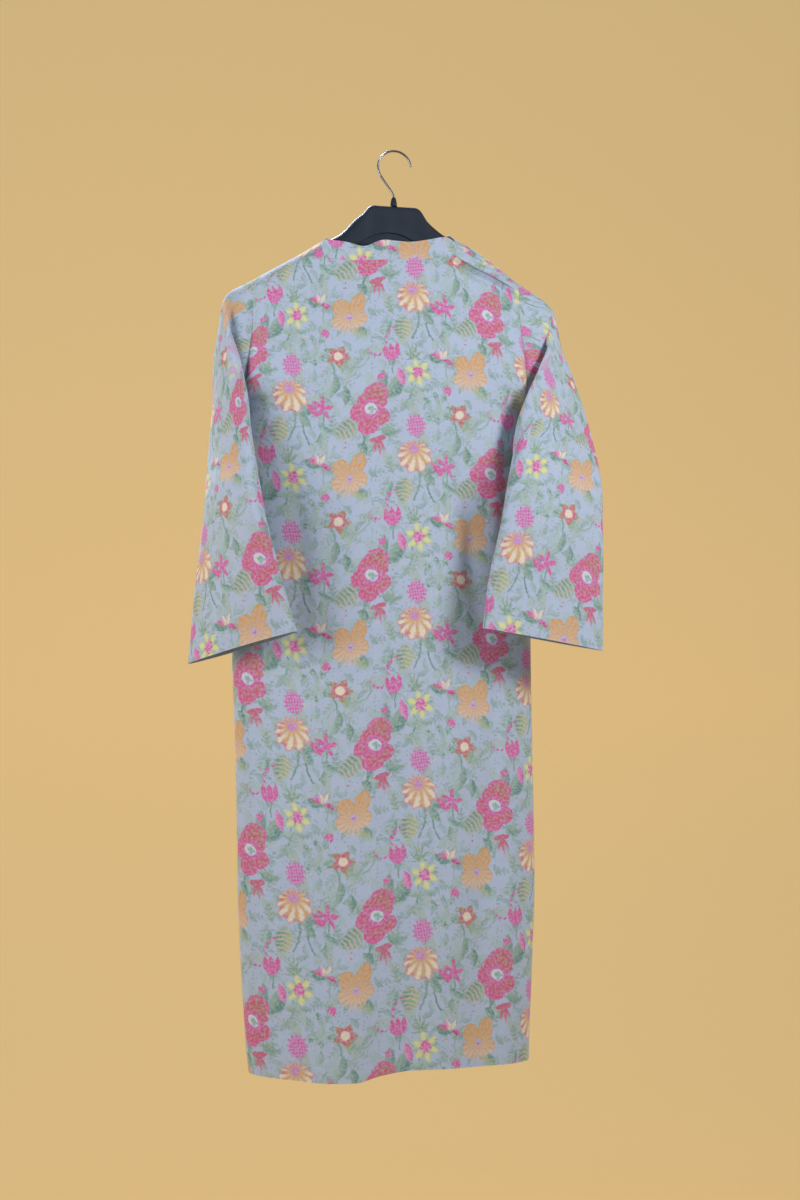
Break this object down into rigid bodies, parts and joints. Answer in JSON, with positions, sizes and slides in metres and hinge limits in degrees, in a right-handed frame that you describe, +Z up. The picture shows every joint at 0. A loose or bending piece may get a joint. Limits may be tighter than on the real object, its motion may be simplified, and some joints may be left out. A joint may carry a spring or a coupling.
{
  "type": "kurta tunic on a suit hanger",
  "caption": "Straight calf-length cotton kurta tunic with a band collar and three-quarter sleeves, in a floral print, hung on a moulded plastic suit hanger with a wire hook.",
  "frame": {"origin": "inside top of the hanger's hook, where a rail holds it", "axes": "+Z up, +Y towards the garment's front, +X towards the wearer's right"},
  "size_m": [0.5607, 0.1792, 1.2514],
  "materials": {
    "printed_cotton": "matte, pale blue-grey with a multicoloured floral print",
    "charcoal_plastic": "satin moulded",
    "bright_wire": "bright"
  },
  "bodies": {
    "root": {"back_panel": "printed_cotton", "front_panel": "printed_cotton", "sleeve_left": "printed_cotton", "sleeve_right": "printed_cotton", "collar_band": "printed_cotton", "hanger_body": "charcoal_plastic", "hook_socket": "charcoal_plastic", "hanger_hook": "bright_wire"}
  },
  "joints": []
}
